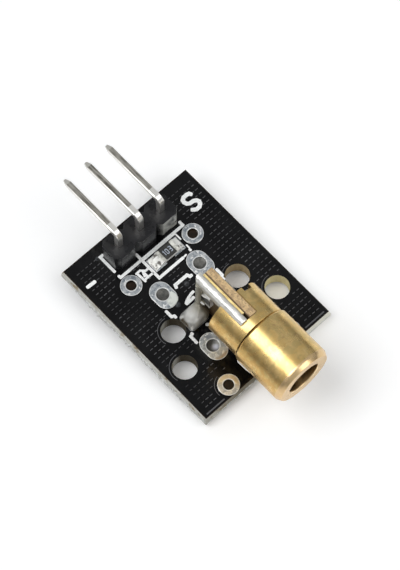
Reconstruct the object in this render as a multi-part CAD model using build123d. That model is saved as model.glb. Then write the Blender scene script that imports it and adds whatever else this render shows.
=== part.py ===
from build123d import *
import os
from math import atan, degrees, sqrt

# A laser diode module: a brass laser head on a small scored circuit board with three bent pins.
# All lengths are millimetres. +X is the board's right, +Y points along the pins, +Z is up.
# The origin is midway between the two inner screw holes, on the board's underside.
# The laser head's axis lies in the plane x = 0 and its light leaves towards -Y.

# Circuit board
board_width = 15.2           # flat face between the score bevels, side to side
board_length = 19.25         # the same, front to back
board_thickness = 1.6
board_lean = 0.11            # the outline lies this far to the right of the drilled holes' middle
back_margin = 11.08          # inner screw holes to the back of the flat face
score_depth = 0.5            # height of each V-score bevel
score_reach = 0.14           # how far the snapped web stands out past the flat face
screw_hole_radius = 1.175
inner_hole_spacing = 7.95
outer_hole_spacing = 11.44
outer_hole_offset = 3.28     # outer holes, towards the front
outer_hole_lean = 0.16       # and their middle, towards the right

# Plated holes and pads
plating = 0.07               # copper and tin in a hole
pad_height = 0.05            # copper and tin on a face
round_hole_radius = 0.5
round_pad_radius = 1.03
round_pad_spacing = 7.62
back_pad_y = 5.86
front_pad_y = -7.16
oval_hole_radius = 0.6
oval_pad_width = 2.06
oval_pad_length = 2.9
oval_pad_lead = 0.1          # the oval's middle lies this far in front of its hole
oval_pad_spacing = 4.58
back_oval_y = 3.26
front_oval_y = -3.46
plug_drop = 0.12             # solder in an oval pad's hole stops this far under the tin
plug_dish = 0.14             # and is hollowed by this much

# Pin header
pitch = 2.54
header_y = 8.83
cell_chamfer = 0.45
header_height = 2.5
header_relief_radius = 0.92
header_relief_depth = 0.18
header_hole_radius = 0.5
header_pad_radius = 0.84
pin_size = 0.6
pin_edge_chamfer = 0.05
pin_top = 5.0                # top of the bent run above the board's top face
pin_bend_radius = 0.52       # on the pin's middle line
pin_reach = 7.27             # header row to the pin's tip
pin_taper_length = 0.55
pin_taper_size = 0.3
pin_tail = 1.25              # below the board
fillet_height = 0.85         # solder cone under the board
fillet_foot_radius = 0.77
fillet_top_radius = 0.43

# Chip resistors: one beside the header, one on the driver board
chip_length = 2.0
chip_width = 1.25
chip_height = 0.5
chip_centre = (0.8, 5.98)
cap_length = 0.36
cap_thickness = 0.06
coat_thickness = 0.04
chip_pads_centre = 0.6
chip_pads_length = 3.64      # outside to outside
chip_pads_gap = 1.0
chip_pads_width = 1.5
chip_fillet_margin = 0.05    # bare pad left outside the solder
chip_fillet_hollow = 0.42    # height of the hollow slope's middle, as a share of the chip's height

# Laser head, measured from the board's top face and along its own axis
laser_height = 5.65          # axis above the board's top face
nose_y = -12.6
joint_y = -6.97              # where the lens barrel meets the rear housing
rear_y = -3.4
barrel_radius = 3.0
barrel_wall = 0.6
nose_chamfer_radial = 0.26
nose_chamfer_axial = 0.5
nose_rim = 1.3               # from the barrel's outside to the light's opening
aperture_break = 0.08
front_wall = 1.1
housing_step = 0.17          # the housing is this much smaller in radius than the barrel
joint_chamfer = 0.13
spigot_wall = 0.5
spigot_length = 2.2
slot_depth = 2.6
slot_left = 1.42             # the slot's solder side, from the axis plane
notch_depth = 0.45
notch_inner = 1.05           # the rim notch's two sides, from the axis plane
notch_outer = 1.9

# Lens and its spring
lens_clearance = 0.04
lens_edge = 0.8
lens_bulge = 0.35
lens_flange = 0.78           # flat width round the domes
spring_wire = 0.24
spring_turns = 2.5
spring_wire_sides = 6

# Driver board, held upright in the housing's slot
driver_thickness = 0.8
driver_foot_gap = 0.15       # between the housing and the tail's foot, which stands on the circuit board
driver_tail = 3.1            # stands out behind the housing
driver_inset = 0.15          # its edges lie this far inside the barrel's outside
driver_gap = 0.05            # to the slot's end
tongue_clearance = 0.55      # to the housing's bore
tongue_length = 1.25         # past the slot's end
plate_thickness = 0.25
plate_step = 0.65            # the plate's top edge stops short of the slot's end
plate_drop = 0.65            # the plate's tail reaches this far under the axis
plate_tongue_inset = 0.2     # the plate's tongue is this much lower than the board's
plate_tongue_length = 2.3    # past the slot's end
submount_size = (0.34, 0.8, 0.8)
diode_size = (0.12, 0.5, 0.3)

# The driver's chip resistor stands on end under the plate
driver_chip_inset = 0.55     # its middle, from the driver board's free end

driver_fillet_low = 0.15     # solder over its upper cap, at the free end
driver_fillet_high = 0.55    # and at the other side

# Solder between the plate and the housing
bead_height = 1.6
bead_crown = 0.16
bead_overrun = 0.33          # past the driver board's free end
bead_end_rounding = 0.52     # of the bead's width
bead_belly_rounding = 0.75   # of the same, along its lower left edge

# Solder between the driver board's foot and the circuit board
laser_pad_x = 1.70
laser_pad_y = -0.34
laser_pad_width = 2.3
laser_pad_length = 1.94
laser_pad_corner = 0.4
neck_x = -1.11               # the drawn-up neck between the left joint and the bead
neck_y = -0.27
neck_radius = 0.3
neck_start = 0.44            # where the neck starts, as a share of the way up to the bead
left_joint_face = -0.38      # just inside the driver board
right_joint_climb = 2.4      # up the driver board's bare face
cap_wedge_top = 0.45         # solder on the driver chip's lower cap: height, reach and length
cap_wedge_reach = 0.32
cap_wedge_length = 0.65

# Places worked out from the sizes above
board_middle = back_margin - board_length / 2
top = board_thickness
axis_z = top + laser_height
aperture_radius = barrel_radius - nose_rim
spigot_radius = barrel_radius - barrel_wall
housing_radius = barrel_radius - housing_step
housing_bore_radius = spigot_radius - spigot_wall
driver_half_height = barrel_radius - driver_inset
tongue_half_height = housing_bore_radius - tongue_clearance
plate_tongue_half = tongue_half_height - plate_tongue_inset
left_face = -driver_thickness / 2 - plate_thickness
slot_end = rear_y - slot_depth
tail_end = rear_y + driver_tail
column_y = [pitch * step for step in (-1, 0, 1)]
GROUND = (Align.CENTER, Align.CENTER, Align.MIN)


def disc(x, y, z, radius, height):
    """An upright cylinder that stands on z."""
    return Pos(x, y, z) * Cylinder(radius, height, align=GROUND)


def block(low, high):
    """A box from its lowest to its highest corner."""
    size = [b - a for a, b in zip(low, high)]
    return Pos(*low) * Box(*size, align=(Align.MIN, Align.MIN, Align.MIN))


def bounded(*lines):
    """The flat face inside lines that meet end to end."""
    return make_face([edge for line in lines for edge in line.edges()])


def turned(points):
    """A turned piece from its (radius, y) outline, on the laser axis."""
    outline = make_face(Polyline(*points, close=True))
    return Pos(0, 0, axis_z) * revolve(outline, Axis.Y)


def upright(points, x_low, x_high):
    """A flat piece that stands in the YZ plane, from its (y, z) outline."""
    outline = make_face(Polyline(*[(x_low, y, z) for y, z in points], close=True))
    return extrude(outline, amount=x_high - x_low, dir=(1, 0, 0))


def round_pad_places():
    half = round_pad_spacing / 2
    return [(side * half, y) for y in (back_pad_y, front_pad_y) for side in (-1, 1)]


def oval_pad_places():
    half = oval_pad_spacing / 2
    return [(side * half, y) for y in (back_oval_y, front_oval_y) for side in (-1, 1)]


def screw_hole_places():
    inner = [(side * inner_hole_spacing / 2, 0) for side in (-1, 1)]
    outer = [(outer_hole_lean + side * outer_hole_spacing / 2, -outer_hole_offset) for side in (-1, 1)]
    return inner + outer


def header_places():
    return [(x, header_y) for x in column_y]


def circuit_board():
    """Glass-fibre board, snapped from a panel along V-scores that leave a bevel above and below."""
    sketch = Rectangle(board_width + 2 * score_reach, board_length + 2 * score_reach)
    slant = degrees(atan(score_reach / score_depth))
    web = extrude(sketch, amount=board_thickness - 2 * score_depth)
    bevel = extrude(sketch, amount=score_depth, taper=slant)
    board = Pos(0, 0, score_depth) * web
    board += Pos(0, 0, board_thickness - score_depth) * bevel
    board += Pos(0, 0, score_depth) * (Rot(180, 0, 0) * bevel)
    board = Pos(board_lean, board_middle, 0) * board
    holes = [(place, screw_hole_radius) for place in screw_hole_places()]
    holes += [(place, round_hole_radius + plating) for place in round_pad_places()]
    holes += [(place, oval_hole_radius + plating) for place in oval_pad_places()]
    holes += [(place, header_hole_radius + plating) for place in header_places()]
    for (x, y), radius in holes:
        board -= disc(x, y, 0, radius, board_thickness)
    return board


def eyelet(x, y, land, hole_radius):
    """A plated-through pad: a land on each face, joined by the tube that lines the hole."""
    top_land = extrude(Pos(x, y, top) * land, amount=pad_height)
    bottom_land = extrude(Pos(x, y, -pad_height) * land, amount=pad_height)
    body = top_land + bottom_land + disc(x, y, 0, hole_radius + plating, board_thickness)
    return body - disc(x, y, -pad_height, hole_radius, board_thickness + 2 * pad_height)


def round_pads():
    land = Circle(round_pad_radius)
    return [eyelet(x, y, land, round_hole_radius) for x, y in round_pad_places()]


def oval_pads():
    oval = Rot(0, 0, 90) * SlotOverall(oval_pad_length, oval_pad_width)
    land = Pos(0, -oval_pad_lead) * oval
    return [eyelet(x, y, land, oval_hole_radius) for x, y in oval_pad_places()]


def header_pads():
    land = Circle(header_pad_radius)
    return [eyelet(x, y, land, header_hole_radius) for x, y in header_places()]


def pad_solder():
    """Solder that fills each oval pad's hole and is dished by its own shrinkage."""
    plugs = []
    for x, y in oval_pad_places():
        level = top + pad_height - plug_drop
        plug = disc(x, y, -pad_height, oval_hole_radius, level + pad_height)
        dish_radius = (oval_hole_radius ** 2 + plug_dish ** 2) / (2 * plug_dish)
        plugs.append(plug - Pos(x, y, level + dish_radius - plug_dish) * Sphere(dish_radius))
    return plugs


def flat_pad(x, y, size):
    return Pos(x, y, top) * Box(*size, pad_height, align=GROUND)


def laser_pads():
    land = RectangleRounded(laser_pad_width, laser_pad_length, laser_pad_corner)
    return [extrude(Pos(side * laser_pad_x, laser_pad_y, top) * land, amount=pad_height)
            for side in (-1, 1)]


def resistor_pads():
    length = (chip_pads_length - chip_pads_gap) / 2
    offset = (chip_pads_length - length) / 2
    size = (length, chip_pads_width)
    return [flat_pad(chip_pads_centre + side * offset, chip_centre[1], size) for side in (-1, 1)]


def header_block():
    """Moulded row of octagonal cells, each hollowed underneath and pierced for its pin."""
    cell = Box(pitch, pitch, header_height, align=GROUND)
    cell = chamfer(cell.edges().filter_by(Axis.Z), cell_chamfer)
    first, *others = [Pos(x, y, top) * cell for x, y in header_places()]
    body = first + others
    for x, y in header_places():
        body -= disc(x, y, top, header_relief_radius, header_relief_depth)
        body -= Pos(x, y, top) * extrude(pin_section(), amount=header_height)
    return body


def pin_section():
    square = Rectangle(pin_size, pin_size)
    return chamfer(square.vertices(), pin_edge_chamfer)


def pin(x):
    """Square wire, straight up through the block, then bent back level over the board's edge."""
    level = top + pin_top - pin_size / 2
    foot = -pad_height - pin_tail + pin_taper_length
    tip = header_y + pin_reach - pin_taper_length
    rise = Line((x, header_y, foot), (x, header_y, level - pin_bend_radius))
    turn_end = header_y + pin_bend_radius
    centre = (x, turn_end, level - pin_bend_radius)
    slant = pin_bend_radius * sqrt(0.5)
    half_way = (x, centre[1] - slant, centre[2] + slant)
    turn = ThreePointArc(rise @ 1, half_way, (x, turn_end, level))
    run = Line((x, turn_end, level), (x, tip, level))
    wire = sweep(Pos(x, header_y, foot) * pin_section(), path=Wire([rise, turn, run]))
    small = chamfer(Rectangle(pin_taper_size, pin_taper_size).vertices(), pin_edge_chamfer)
    point = loft([pin_section(), Pos(0, 0, pin_taper_length) * small])
    wire += Pos(x, tip, level) * (Rot(-90, 0, 0) * point)
    wire += Pos(x, header_y, foot) * (Rot(180, 0, 0) * point)
    return wire


def header_solder():
    """Solder cones under the board that also fill the plated holes round the pins."""
    cones = []
    for x, y in header_places():
        cone = Cone(fillet_foot_radius, fillet_top_radius, fillet_height, align=GROUND)
        cone = Pos(x, y, -pad_height) * (Rot(180, 0, 0) * cone)
        joint = cone + disc(x, y, -pad_height, header_hole_radius, board_thickness + 2 * pad_height)
        cones.append(joint - pin(x))
    return cones


def chip_parts(place):
    """A chip resistor, made lying on z = 0 along X: its ceramic, its top coat and its two end caps."""
    body_height = chip_height - 2 * cap_thickness
    ceramic = Box(chip_length - 2 * cap_thickness, chip_width, body_height, align=GROUND)
    ceramic = Pos(0, 0, cap_thickness) * ceramic
    coat = Box(chip_length - 2 * cap_length, chip_width, coat_thickness, align=GROUND)
    coat = Pos(0, 0, cap_thickness + body_height) * coat
    end = Box(cap_length, chip_width, chip_height, align=GROUND)
    offset = (chip_length - cap_length) / 2
    caps = [place * (Pos(side * offset, 0, 0) * end - ceramic) for side in (-1, 1)]
    return place * ceramic, place * coat, caps


def board_chip():
    return chip_parts(Pos(chip_centre[0], chip_centre[1], top + pad_height))


def resistor_solder():
    """A hollow-faced fillet from each pad's outer end up to the end cap."""
    base = top + pad_height
    high = base + chip_height
    fillets = []
    for side in (-1, 1):
        inner = chip_centre[0] + side * chip_length / 2
        outer = chip_pads_centre + side * (chip_pads_length / 2 - chip_fillet_margin)
        bow = (inner + chip_fillet_hollow * (outer - inner), base + chip_fillet_hollow * chip_height)
        slope = ThreePointArc((inner, high), bow, (outer, base))
        upright_side = Line((inner, base), (inner, high))
        floor = Line((outer, base), (inner, base))
        profile = Plane.XZ * bounded(upright_side, slope, floor)
        solid = extrude(profile, amount=chip_width / 2, both=True)
        fillets.append(Pos(0, chip_centre[1], 0) * solid)
    return fillets


def lens_barrel():
    """Turned brass nose: a bevelled front with the light's opening, bored from behind for the lens."""
    shoulder = nose_y + front_wall
    return turned([
        (aperture_radius, nose_y + aperture_break),
        (aperture_radius + aperture_break, nose_y),
        (barrel_radius - nose_chamfer_radial, nose_y),
        (barrel_radius, nose_y + nose_chamfer_axial),
        (barrel_radius, joint_y - joint_chamfer),
        (barrel_radius - joint_chamfer, joint_y),
        (spigot_radius, joint_y),
        (spigot_radius, shoulder),
        (aperture_radius, shoulder)])


def laser_housing():
    """Turned brass tube with a spigot that fits the barrel, slotted for the driver board."""
    spigot_end = joint_y - spigot_length
    body = turned([
        (housing_bore_radius, rear_y),
        (housing_radius, rear_y),
        (housing_radius, joint_y + joint_chamfer),
        (housing_radius - joint_chamfer, joint_y),
        (spigot_radius, joint_y),
        (spigot_radius, spigot_end),
        (housing_bore_radius, spigot_end)])
    reach = housing_radius + 1
    body -= block((-slot_left, slot_end, axis_z - reach), (driver_thickness / 2, rear_y, axis_z + reach))
    body -= block((notch_inner, rear_y - notch_depth, axis_z), (notch_outer, rear_y, axis_z + reach))
    return body


def lens_seat():
    return nose_y + front_wall


def lens():
    """Moulded plastic lens: a flange that seats on the barrel's shoulder, domed on both sides."""
    rim = spigot_radius - lens_clearance
    front = lens_seat()
    back = front + lens_edge
    lens_face_radius = rim - lens_flange
    dome_radius = (lens_face_radius ** 2 + lens_bulge ** 2) / (2 * lens_bulge)
    front_dome = Pos(0, front - lens_bulge + dome_radius, axis_z) * Sphere(dome_radius)
    back_dome = Pos(0, back + lens_bulge - dome_radius, axis_z) * Sphere(dome_radius)
    flange = turned([(0, front), (rim, front), (rim, back), (0, back)])
    body = turned([(0, front - lens_bulge), (lens_face_radius, front - lens_bulge),
                   (lens_face_radius, back + lens_bulge), (0, back + lens_bulge)])
    return flange + (body & front_dome & back_dome)


def lens_spring():
    """Wire spring between the lens and the housing's spigot."""
    start = lens_seat() + lens_edge + spring_wire / 2
    end = joint_y - spigot_length - spring_wire / 2
    coil_radius = spigot_radius - spring_wire
    path = Helix(pitch=(end - start) / spring_turns, height=end - start, radius=coil_radius)
    section = RegularPolygon(spring_wire / 2, spring_wire_sides)
    wire = sweep(Plane(path @ 0, z_dir=path % 0) * section, path=path, is_frenet=True)
    return Pos(0, start, axis_z) * (Rot(-90, 0, 0) * wire)


def driver_board():
    """Board on edge in the slot. A tongue reaches into the bore and a foot stands on the circuit board."""
    front = slot_end + driver_gap
    tongue = slot_end - tongue_length
    high = axis_z + driver_half_height
    low = axis_z - driver_half_height
    foot_front = rear_y + driver_foot_gap
    outline = [
        (tail_end, top), (tail_end, high), (front, high), (front, axis_z + tongue_half_height),
        (tongue, axis_z + tongue_half_height), (tongue, axis_z - tongue_half_height),
        (front, axis_z - tongue_half_height), (front, low), (foot_front, low), (foot_front, top)]
    return upright(outline, -driver_thickness / 2, driver_thickness / 2)


def driver_plate():
    """Gold-plated copper strip on the driver board's left face. Its tongue carries the laser diode."""
    front = slot_end + plate_step
    tongue = slot_end - plate_tongue_length
    outline = [
        (tail_end, axis_z - plate_drop), (tail_end, axis_z + driver_half_height),
        (front, axis_z + driver_half_height), (front, axis_z + plate_tongue_half),
        (tongue, axis_z + plate_tongue_half), (tongue, axis_z - plate_tongue_half),
        (front, axis_z - plate_tongue_half), (front, axis_z - plate_drop)]
    return upright(outline, left_face, -driver_thickness / 2)


def diode_submount():
    face = -driver_thickness / 2
    width, length, height = submount_size
    tip = slot_end - plate_tongue_length
    return block((face, tip, axis_z - height / 2), (face + width, tip + length, axis_z + height / 2))


def laser_diode():
    """The bare diode, on the laser axis with its front facet at the submount's edge."""
    face = -driver_thickness / 2 + submount_size[0]
    width, length, height = diode_size
    tip = slot_end - plate_tongue_length
    return block((face, tip, axis_z - height / 2), (face + width, tip + length, axis_z + height / 2))


def driver_chip():
    """The driver's chip resistor, on end against the driver board's left face, its upper cap at the plate."""
    middle = axis_z - plate_drop - chip_length / 2
    return chip_parts(Pos(-driver_thickness / 2, tail_end - driver_chip_inset, middle) * Rot(0, -90, 0))


def plate_solder():
    """Solder bead that fills the slot beside the plate and runs back along it with a crowned top."""
    high = axis_z + driver_half_height
    low = high - bead_height
    middle = (left_face - slot_left) / 2
    crown = ThreePointArc((-slot_left, high - bead_crown), (middle, high + bead_crown), (left_face, high))
    sides = Polyline((left_face, high), (left_face, low), (-slot_left, low), (-slot_left, high - bead_crown))
    profile = Plane.XZ * bounded(crown, sides)
    end = tail_end + bead_overrun
    bead = Pos(0, end, 0) * extrude(profile, amount=end - slot_end)
    rear_corner = bead.edges().filter_by(Axis.Z).sort_by(Axis.Y)[-2:].sort_by(Axis.X)[0]
    bead = fillet(rear_corner, (slot_left + left_face) * bead_end_rounding)
    lower_edge = bead.faces().sort_by(Axis.Z)[0].edges().filter_by(Axis.Y).sort_by(Axis.X)[0]
    return fillet(lower_edge, (slot_left + left_face) * bead_belly_rounding)


def driver_chip_solder():
    """Fillet between the driver chip's upper cap and the plate, thicker towards the housing."""
    face = -driver_thickness / 2 - chip_height
    level = axis_z - plate_drop
    ends = []
    for side, rise in ((1, driver_fillet_low), (-1, driver_fillet_high)):
        y = tail_end - driver_chip_inset + side * chip_width / 2
        ends.append(make_face(Polyline((face, y, level), (left_face, y, level), (left_face, y, level + rise),
                                       close=True)))
    return loft(ends)


def soft_mass(sections):
    """A solder form through rounded rectangles: (x low, x high, y middle, z, length, corner radius)."""
    outlines = []
    for low, high, y, z, length, corner in sections:
        outlines.append(Pos((low + high) / 2, y, z) * RectangleRounded(high - low, length, corner))
    return loft(outlines)


def left_solder_joint():
    """The big joint: a mass on the left pad against the driver board, drawn up in a neck to the bead's tail."""
    foot = top + pad_height
    bead_low = axis_z + driver_half_height - bead_height
    rise = bead_low - foot
    width, length = laser_pad_width, laser_pad_length
    left = -laser_pad_x - width / 2
    right = -laser_pad_x + width / 2
    near = left_joint_face
    mass = soft_mass([
        (left, right, laser_pad_y, foot, length, 0.21 * length),
        (left - 0.03 * width, near, laser_pad_y - 0.02 * length, foot + 0.066 * rise,
         1.03 * length, 0.36 * length),
        (left - 0.01 * width, near, laser_pad_y - 0.06 * length, foot + 0.153 * rise,
         0.93 * length, 0.43 * length),
        (left + 0.13 * width, near - 0.12 * width, laser_pad_y - 0.05 * length, foot + 0.24 * rise,
         0.7 * length, 0.32 * length),
        (left + 0.38 * width, near - 0.2 * width, laser_pad_y - 0.02 * length, foot + 0.314 * rise,
         0.46 * length, 0.22 * length),
        (neck_x - 1.15 * neck_radius, neck_x + 1.05 * neck_radius, neck_y, foot + 0.4 * rise,
         2.1 * neck_radius, neck_radius),
        (neck_x - 0.95 * neck_radius, neck_x + 0.95 * neck_radius, neck_y, foot + 0.49 * rise,
         1.9 * neck_radius, 0.93 * neck_radius)])
    neck_low = foot + neck_start * rise
    mass += disc(neck_x, neck_y, neck_low, neck_radius, bead_low - neck_low)
    chip_face = -driver_thickness / 2 - chip_height
    chip_low = axis_z - plate_drop - chip_length
    wedge = make_face(Polyline(
        (chip_face, neck_y, chip_low), (chip_face - cap_wedge_reach, neck_y, chip_low),
        (chip_face, neck_y, chip_low + cap_wedge_top), close=True))
    mass += extrude(wedge, amount=cap_wedge_length, dir=(0, -1, 0))
    ceramic, coat, caps = driver_chip()
    for piece in [driver_plate(), driver_board(), ceramic, coat, *caps]:
        mass -= piece
    return mass


def right_solder_joint():
    """The smaller joint on the right, from its pad up the driver board's bare face."""
    foot = top + pad_height
    width, length = laser_pad_width, laser_pad_length
    left = laser_pad_x - width / 2
    right = laser_pad_x + width / 2
    near = -left_joint_face
    mass = soft_mass([
        (left, right, laser_pad_y, foot, length, 0.21 * length),
        (near, near + 0.98 * width, laser_pad_y, foot + 0.25 * right_joint_climb, 0.9 * length, 0.36 * length),
        (near, near + 0.59 * width, laser_pad_y, foot + 0.6 * right_joint_climb, 0.6 * length, 0.24 * length),
        (near, near + 0.27 * width, laser_pad_y, foot + right_joint_climb, 0.3 * length, 0.12 * length)])
    return mass - driver_board()


board_ceramic, board_coat, board_caps = board_chip()
driver_ceramic, driver_coat, driver_caps = driver_chip()

nodes = {
    "circuit_board": circuit_board(),
    "round_pads": round_pads(),
    "oval_pads": oval_pads(),
    "header_pads": header_pads(),
    "laser_pads": laser_pads(),
    "resistor_pads": resistor_pads(),
    "pad_solder": pad_solder(),
    "header_block": header_block(),
    "pin_ground": pin(-pitch),
    "pin_supply": pin(0),
    "pin_signal": pin(pitch),
    "header_solder": header_solder(),
    "resistor_body": board_ceramic,
    "resistor_coat": board_coat,
    "resistor_caps": board_caps,
    "resistor_solder": resistor_solder(),
    "lens_barrel": lens_barrel(),
    "laser_housing": laser_housing(),
    "lens": lens(),
    "lens_spring": lens_spring(),
    "driver_board": driver_board(),
    "driver_plate": driver_plate(),
    "diode_submount": diode_submount(),
    "laser_diode": laser_diode(),
    "driver_resistor_body": driver_ceramic,
    "driver_resistor_coat": driver_coat,
    "driver_resistor_caps": driver_caps,
    "driver_resistor_solder": driver_chip_solder(),
    "plate_solder": plate_solder(),
    "left_solder_joint": left_solder_joint(),
    "right_solder_joint": right_solder_joint(),
}

os.makedirs("parts", exist_ok=True)
for name, shape in nodes.items():
    solids = shape if isinstance(shape, list) else [shape]
    export_step(Compound(children=solids) if len(solids) > 1 else solids[0], f"parts/{name}.step")
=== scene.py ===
import math
import random

import bmesh
import bpy
from mathutils import Matrix, Vector


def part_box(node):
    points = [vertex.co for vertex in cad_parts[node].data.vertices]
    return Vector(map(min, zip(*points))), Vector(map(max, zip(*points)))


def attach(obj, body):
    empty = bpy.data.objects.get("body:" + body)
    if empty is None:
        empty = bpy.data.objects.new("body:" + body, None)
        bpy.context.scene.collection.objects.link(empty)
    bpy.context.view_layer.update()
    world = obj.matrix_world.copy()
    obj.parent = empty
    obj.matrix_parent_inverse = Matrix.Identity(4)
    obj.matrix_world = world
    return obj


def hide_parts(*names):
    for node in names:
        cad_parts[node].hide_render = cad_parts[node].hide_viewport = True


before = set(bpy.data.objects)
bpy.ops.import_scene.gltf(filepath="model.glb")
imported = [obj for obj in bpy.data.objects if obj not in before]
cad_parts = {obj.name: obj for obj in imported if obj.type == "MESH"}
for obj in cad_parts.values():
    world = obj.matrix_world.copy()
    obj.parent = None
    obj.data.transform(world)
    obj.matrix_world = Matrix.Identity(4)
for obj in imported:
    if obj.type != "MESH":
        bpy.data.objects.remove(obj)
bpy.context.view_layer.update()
MM = 0.001


# Circuit board
# A glass-fibre board with gloss black mask on both faces, snapped from its panel along V-scores.
# The snapped edges and the drilled holes show the bare cream laminate.

def put(value, socket):
    """Gives a socket its value: a number, a colour, a place or another node's output."""
    if isinstance(value, bpy.types.NodeSocket):
        socket.id_data.links.new(value, socket)
    elif socket.type == "RGBA":
        socket.default_value = (*value, 1.0)
    else:
        socket.default_value = value


def add(tree, kind, inputs=(), **settings):
    """A node with its settings made and its inputs given."""
    made = tree.nodes.new(kind)
    for key, value in settings.items():
        setattr(made, key, value)
    for key, value in dict(inputs).items():
        put(value, made.inputs[key])
    return made


def calculate(operation, *values):
    """A Math node beside the nodes whose outputs it is given. A value may also be a number."""
    tree = next(value.id_data for value in values if isinstance(value, bpy.types.NodeSocket))
    return add(tree, "ShaderNodeMath", enumerate(values), operation=operation).outputs[0]


def times(*amounts):
    """The product of outputs and numbers."""
    product = amounts[0]
    for amount in amounts[1:]:
        product = calculate("MULTIPLY", product, amount)
    return product


def under(amount, limit):
    """1 where amount is less than limit, 0 elsewhere."""
    return calculate("LESS_THAN", amount, limit)


def over(amount, limit):
    """1 where amount is more than limit, 0 elsewhere."""
    return calculate("GREATER_THAN", amount, limit)


def apart(first, second):
    """How far two amounts lie apart."""
    return calculate("ABSOLUTE", calculate("SUBTRACT", first, second))


def spread(amount, low, high, start=0.0, end=1.0):
    """low to high as amount goes from start to end, level outside it."""
    limits = {0: amount, 1: start, 2: end, 3: low, 4: high}
    made = add(amount.id_data, "ShaderNodeMapRange", limits, interpolation_type="SMOOTHSTEP")
    return made.outputs[0]


def rises(amount, start, end, top=1.0):
    """0 to top as amount goes from start to end."""
    return spread(amount, 0.0, top, start, end)


def falls(amount, start, end, top=1.0):
    """top to 0 as amount goes from start to end."""
    return spread(amount, top, 0.0, start, end)


def blend(amount, first, second):
    """A colour mix. first and second are colours or another node's output."""
    made = add(amount.id_data, "ShaderNodeMix", {0: amount, 6: first, 7: second}, data_type="RGBA")
    return made.outputs[2]


def split(vector):
    """The three parts of a vector."""
    return add(vector.id_data, "ShaderNodeSeparateXYZ", {0: vector}).outputs


def distance(across, along, middle):
    """How far the point across, along lies from middle."""
    side = calculate("POWER", calculate("SUBTRACT", across, middle[0]), 2.0)
    length = calculate("POWER", calculate("SUBTRACT", along, middle[1]), 2.0)
    return calculate("SQRT", calculate("ADD", side, length))


def start_tree(name, kind, inputs, output, output_kind):
    """An empty node tree with named sockets, the outputs of its input node and its result's socket."""
    tree = bpy.data.node_groups.new(name, kind)
    for socket, socket_kind in inputs.items():
        tree.interface.new_socket(socket, in_out="INPUT", socket_type="NodeSocket" + socket_kind)
    tree.interface.new_socket(output, in_out="OUTPUT", socket_type="NodeSocket" + output_kind)
    given = tree.nodes.new("NodeGroupInput").outputs
    result = tree.nodes.new("NodeGroupOutput").inputs[0]
    return tree, given, result


def patches_group():
    """Soft-edged patches about Size millimetres wide: 1 where the noise is over Level, 0 elsewhere."""
    group, given, result = start_tree("patches", "ShaderNodeTree", {
        "Place": "Vector", "Size": "Float", "Level": "Float", "Softness": "Float"}, "Amount", "Float")
    shrinking = calculate("DIVIDE", 1.0, given["Size"])
    shrunk = add(group, "ShaderNodeVectorMath", {0: given["Place"], "Scale": shrinking}, operation="SCALE")
    noise = add(group, "ShaderNodeTexNoise", {
        "Vector": shrunk.outputs[0], "Scale": 1.0, "Detail": 4.0, "Roughness": 0.6})
    above_level = calculate("SUBTRACT", noise.outputs[0], given["Level"])
    put(rises(calculate("DIVIDE", above_level, given["Softness"]), -0.5, 0.5), result)
    return group


def lines_group():
    """Fine uneven lines from 0 to 1. Spacing is their size along X, Y and Z in millimetres."""
    group, given, result = start_tree("fine lines", "ShaderNodeTree", {
        "Place": "Vector", "Spacing": "Vector"}, "Amount", "Float")
    shrunk = add(group, "ShaderNodeVectorMath", {0: given["Place"], 1: given["Spacing"]}, operation="DIVIDE")
    noise = add(group, "ShaderNodeTexNoise", {
        "Vector": shrunk.outputs[0], "Scale": 1.0, "Detail": 2.0, "Roughness": 0.5})
    put(rises(noise.outputs[0], 0.3, 0.7), result)
    return group


PATCHES = patches_group()
LINES = lines_group()


class Surface:
    """A procedural material, with its Object coordinates in millimetres and its colour so far."""

    def __init__(self, name, colour, roughness, metallic=0.0, **sockets):
        """Sets the Principled BSDF's constant values on the shader's own sockets."""
        self.material = bpy.data.materials.new(name)
        self.material.use_nodes = True
        self.material.diffuse_color = (*colour, 1.0)
        self.colour = colour
        self.tree = self.material.node_tree
        self.inputs = self.tree.nodes["Principled BSDF"].inputs
        constants = {"Base Color": colour, "Roughness": roughness, "Metallic": metallic, **sockets}
        for socket, value in constants.items():
            put(value, self.inputs[socket.replace("_", " ")])
        coordinates = add(self.tree, "ShaderNodeTexCoord").outputs["Object"]
        grown = add(self.tree, "ShaderNodeVectorMath", {0: coordinates, "Scale": 1 / MM}, operation="SCALE")
        self.place = grown.outputs[0]
        self.x, self.y, self.z = split(self.place)

    def patches(self, size, level, soft):
        """The patches group in this material."""
        inputs = {"Place": self.place, "Size": size, "Level": level, "Softness": soft}
        return add(self.tree, "ShaderNodeGroup", inputs, node_tree=PATCHES).outputs[0]

    def lines(self, *spacing):
        """The fine lines group in this material."""
        inputs = {"Place": self.place, "Spacing": spacing}
        return add(self.tree, "ShaderNodeGroup", inputs, node_tree=LINES).outputs[0]

    def normal(self):
        """The direction a face looks in."""
        return add(self.tree, "ShaderNodeNewGeometry").outputs["True Normal"]

    def tilt(self):
        """The three parts of the direction a face looks in, each without its sign."""
        plain = add(self.tree, "ShaderNodeVectorMath", {0: self.normal()}, operation="ABSOLUTE")
        return split(plain.outputs[0])

    def tint(self, amount, colour, base=None):
        """Turns the colour so far, or the base colour, to another colour by amount."""
        self.colour = blend(amount, self.colour if base is None else base, colour)
        put(self.colour, self.inputs["Base Color"])

    def relief(self, height, depth):
        """Bump of depth millimetres on the shader's normal."""
        bump = add(self.tree, "ShaderNodeBump", {"Height": height, "Distance": depth * MM})
        put(bump.outputs[0], self.inputs["Normal"])


MERGE_DISTANCE = 0.0002
FLAT_ANGLE = math.radians(0.4)
SHARP_ANGLE = math.radians(32)
EASED_ANGLE = math.radians(40)


def new_object(name, data):
    """An object that shows data, in the scene."""
    made = bpy.data.objects.new(name, data)
    bpy.context.scene.collection.objects.link(made)
    return made


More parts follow.
